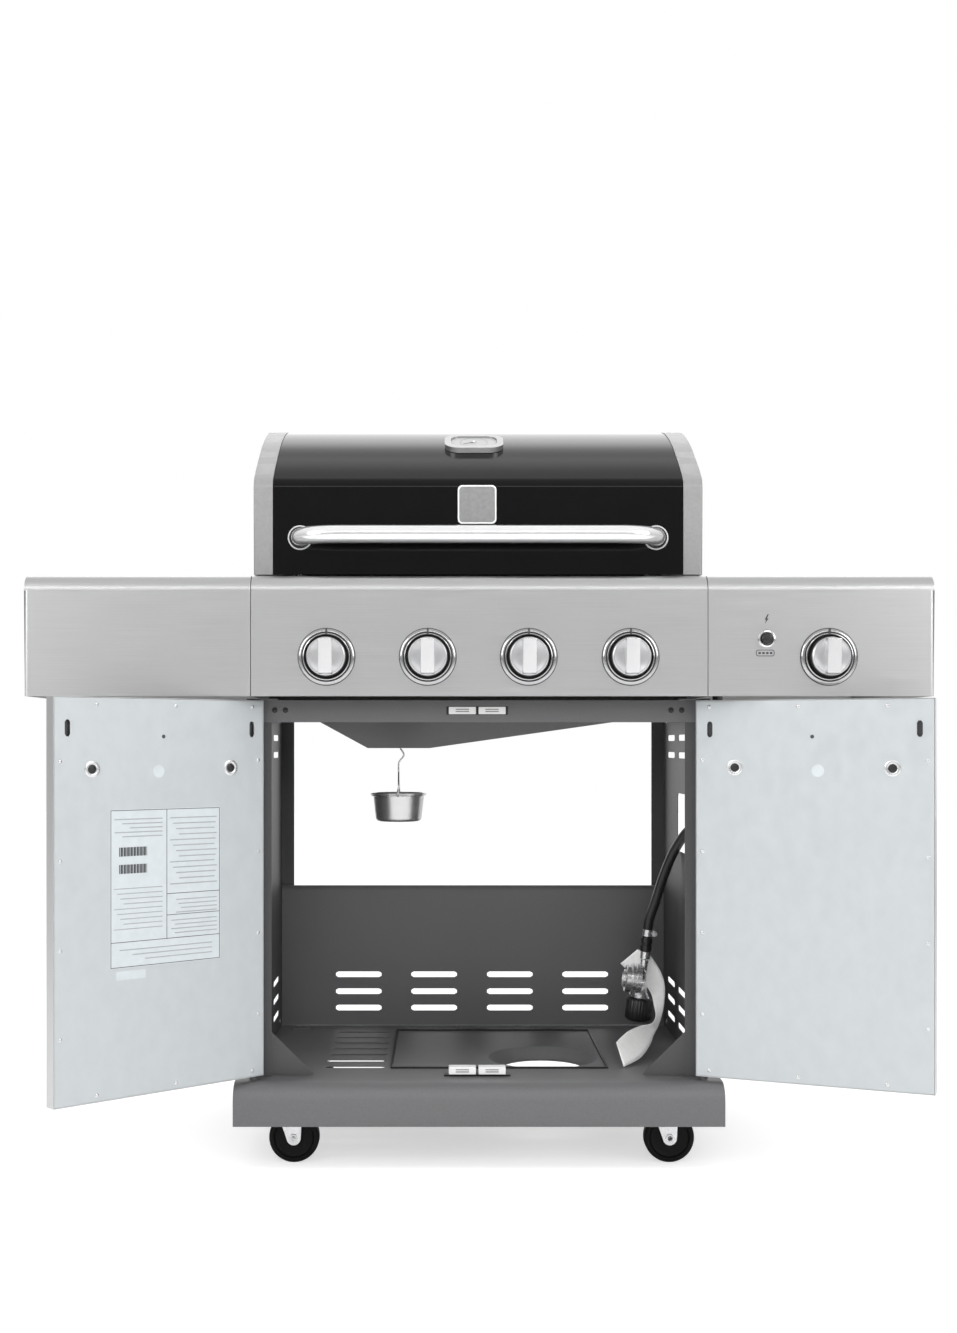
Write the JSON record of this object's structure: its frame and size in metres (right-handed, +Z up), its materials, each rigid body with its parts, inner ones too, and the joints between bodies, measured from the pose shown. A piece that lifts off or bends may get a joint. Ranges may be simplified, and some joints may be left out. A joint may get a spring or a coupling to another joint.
{
  "type": "gas barbecue grill",
  "caption": "Gas barbecue grill on an enclosed cart, with a hinged hood, side shelves, control knobs, opening cart doors, a hanging grease cup and swivel casters.",
  "frame": {"origin": "on the ground, at the middle of the width and of the depth with the doors as stored", "axes": "+X to the right as seen from the front, +Y to the back, +Z up; the front faces -Y"},
  "size_m": [1.322, 0.7071, 1.1403],
  "materials": {
    "stainless": "brushed stainless steel, horizontal grain",
    "galvanized": "galvanized sheet, pale and slightly blue, low gloss",
    "chrome": "polished chrome plate",
    "hood_enamel": "gloss black enamel",
    "cast_end_cap": "satin grey paint on cast aluminium",
    "firebox_cast": "dark grey high-heat paint",
    "dark_powder": "dark grey powder coat, fine texture",
    "cast_iron": "matt porcelain-coated iron",
    "brass": "drawn brass, unpolished",
    "rubber": "smooth black rubber",
    "caster_tread": "hard black tread, satin",
    "black_plastic": "fine-grained black plastic",
    "knob_cap": "satin metallised cap with a grip bar",
    "zinc": "bright zinc plate",
    "gauge": "chromed bezel, pale dial"
  },
  "bodies": {
    "base": {"cart_base": "dark_powder", "tank_tray": "dark_powder", "left_side_panel": "dark_powder", "right_side_panel": "dark_powder", "back_panel": "dark_powder", "front_header": "dark_powder", "upper_magnet_catch": "zinc", "lower_magnet_catch": "zinc", "firebox": "firebox_cast", "burner_set": "stainless", "flame_tamer_1": "stainless", "flame_tamer_2": "stainless", "flame_tamer_3": "stainless", "flame_tamer_4": "stainless", "left_cooking_grate": "cast_iron", "right_cooking_grate": "cast_iron", "warming_rack": "chrome", "control_panel": "stainless", "left_shelf": "stainless", "right_shelf": "stainless", "side_burner": "stainless", "gas_manifold": "brass", "gas_hose": "rubber", "regulator": "zinc", "hand_nut": "black_plastic"},
    "lid": {"lid_hood": "hood_enamel", "left_lid_end_cap": "cast_end_cap", "right_lid_end_cap": "cast_end_cap", "lid_handle": "chrome", "lid_thermometer": "gauge"},
    "left_door": {"left_door_skin": "stainless", "left_door_pan": "galvanized", "left_door_handle": "chrome"},
    "right_door": {"right_door_skin": "stainless", "right_door_pan": "galvanized", "right_door_handle": "chrome"},
    "side_lid": {"side_burner_lid": "stainless"},
    "grease_tray": {"grease_tray": "galvanized"},
    "cup": {"cup_hanger": "zinc", "grease_cup": "galvanized"},
    "igniter": {"igniter_button": "black_plastic"},
    "valve_1": {"valve_stem_1": "zinc"},
    "knob_1": {"knob_1": "knob_cap"},
    "valve_2": {"valve_stem_2": "zinc"},
    "knob_2": {"knob_2": "knob_cap"},
    "valve_3": {"valve_stem_3": "zinc"},
    "knob_3": {"knob_3": "knob_cap"},
    "valve_4": {"valve_stem_4": "zinc"},
    "knob_4": {"knob_4": "knob_cap"},
    "valve_5": {"valve_stem_5": "zinc"},
    "knob_5": {"knob_5": "knob_cap"},
    "caster_front_left": {"caster_fork_front_left": "zinc"},
    "wheel_front_left": {"caster_wheel_front_left": "caster_tread"},
    "caster_front_right": {"caster_fork_front_right": "zinc"},
    "wheel_front_right": {"caster_wheel_front_right": "caster_tread"},
    "caster_rear_left": {"caster_fork_rear_left": "zinc"},
    "wheel_rear_left": {"caster_wheel_rear_left": "caster_tread"},
    "caster_rear_right": {"caster_fork_rear_right": "zinc"},
    "wheel_rear_right": {"caster_wheel_rear_right": "caster_tread"}
  },
  "joints": [
    {"name": "lid_hinge", "type": "hinge", "parent": "base", "child": "lid", "pos_m": [0, 0.3116, 0.888], "axis": [-1, 0, 0], "range_deg": [0, 85]},
    {"name": "left_door_hinge", "type": "hinge", "parent": "base", "child": "left_door", "pos_m": [-0.334, -0.1244, 0.4105], "axis": [0, 0, 1], "range_deg": [-31, 139]},
    {"name": "right_door_hinge", "type": "hinge", "parent": "base", "child": "right_door", "pos_m": [0.334, -0.1244, 0.4105], "axis": [0, 0, 1], "range_deg": [-157, 13]},
    {"name": "side_lid_hinge", "type": "hinge", "parent": "base", "child": "side_lid", "pos_m": [0.5075, 0.1626, 0.873], "axis": [-1, 0, 0], "range_deg": [0, 100]},
    {"name": "grease_tray_slide", "type": "slide", "parent": "base", "child": "grease_tray", "axis": [0, 1, 0], "range_m": [0, 0.25]},
    {"name": "cup_swing", "type": "hinge", "parent": "grease_tray", "child": "cup", "pos_m": [-0.125, 0.1086, 0.6176], "axis": [0, 1, 0], "range_deg": [-15, 15]},
    {"name": "igniter_push", "type": "slide", "parent": "base", "child": "igniter", "axis": [0, 1, 0], "range_m": [0, 0.004], "stiffness_N_per_m": 300},
    {"name": "valve_push_1", "type": "slide", "parent": "base", "child": "valve_1", "axis": [0, 1, 0], "range_m": [0, 0.004], "stiffness_N_per_m": 400},
    {"name": "knob_turn_1", "type": "hinge", "parent": "valve_1", "child": "knob_1", "pos_m": [-0.2217, -0.1764, 0.75], "axis": [0, -1, 0], "range_deg": [0, 180]},
    {"name": "valve_push_2", "type": "slide", "parent": "base", "child": "valve_2", "axis": [0, 1, 0], "range_m": [0, 0.004], "stiffness_N_per_m": 400},
    {"name": "knob_turn_2", "type": "hinge", "parent": "valve_2", "child": "knob_2", "pos_m": [-0.0748, -0.1764, 0.75], "axis": [0, -1, 0], "range_deg": [0, 180]},
    {"name": "valve_push_3", "type": "slide", "parent": "base", "child": "valve_3", "axis": [0, 1, 0], "range_m": [0, 0.004], "stiffness_N_per_m": 400},
    {"name": "knob_turn_3", "type": "hinge", "parent": "valve_3", "child": "knob_3", "pos_m": [0.0718, -0.1764, 0.75], "axis": [0, -1, 0], "range_deg": [0, 180]},
    {"name": "valve_push_4", "type": "slide", "parent": "base", "child": "valve_4", "axis": [0, 1, 0], "range_m": [0, 0.004], "stiffness_N_per_m": 400},
    {"name": "knob_turn_4", "type": "hinge", "parent": "valve_4", "child": "knob_4", "pos_m": [0.2196, -0.1764, 0.75], "axis": [0, -1, 0], "range_deg": [0, 180]},
    {"name": "valve_push_5", "type": "slide", "parent": "base", "child": "valve_5", "axis": [0, 1, 0], "range_m": [0, 0.004], "stiffness_N_per_m": 400},
    {"name": "knob_turn_5", "type": "hinge", "parent": "valve_5", "child": "knob_5", "pos_m": [0.5075, -0.1764, 0.75], "axis": [0, -1, 0], "range_deg": [0, 180]},
    {"name": "caster_swivel_front_left", "type": "hinge", "parent": "base", "child": "caster_front_left", "pos_m": [-0.2866, -0.1064, 0.09], "axis": [0, 0, 1], "continuous": true},
    {"name": "wheel_spin_front_left", "type": "hinge", "parent": "caster_front_left", "child": "wheel_front_left", "pos_m": [-0.2746, -0.1064, 0.0375], "axis": [0, 1, 0], "continuous": true},
    {"name": "caster_swivel_front_right", "type": "hinge", "parent": "base", "child": "caster_front_right", "pos_m": [0.2725, -0.1064, 0.09], "axis": [0, 0, 1], "continuous": true},
    {"name": "wheel_spin_front_right", "type": "hinge", "parent": "caster_front_right", "child": "wheel_front_right", "pos_m": [0.2845, -0.1064, 0.0375], "axis": [0, 1, 0], "continuous": true},
    {"name": "caster_swivel_rear_left", "type": "hinge", "parent": "base", "child": "caster_rear_left", "pos_m": [-0.2866, 0.2856, 0.09], "axis": [0, 0, 1], "continuous": true},
    {"name": "wheel_spin_rear_left", "type": "hinge", "parent": "caster_rear_left", "child": "wheel_rear_left", "pos_m": [-0.2746, 0.2856, 0.0375], "axis": [0, 1, 0], "continuous": true},
    {"name": "caster_swivel_rear_right", "type": "hinge", "parent": "base", "child": "caster_rear_right", "pos_m": [0.2725, 0.2856, 0.09], "axis": [0, 0, 1], "continuous": true},
    {"name": "wheel_spin_rear_right", "type": "hinge", "parent": "caster_rear_right", "child": "wheel_rear_right", "pos_m": [0.2845, 0.2856, 0.0375], "axis": [0, 1, 0], "continuous": true}
  ]
}
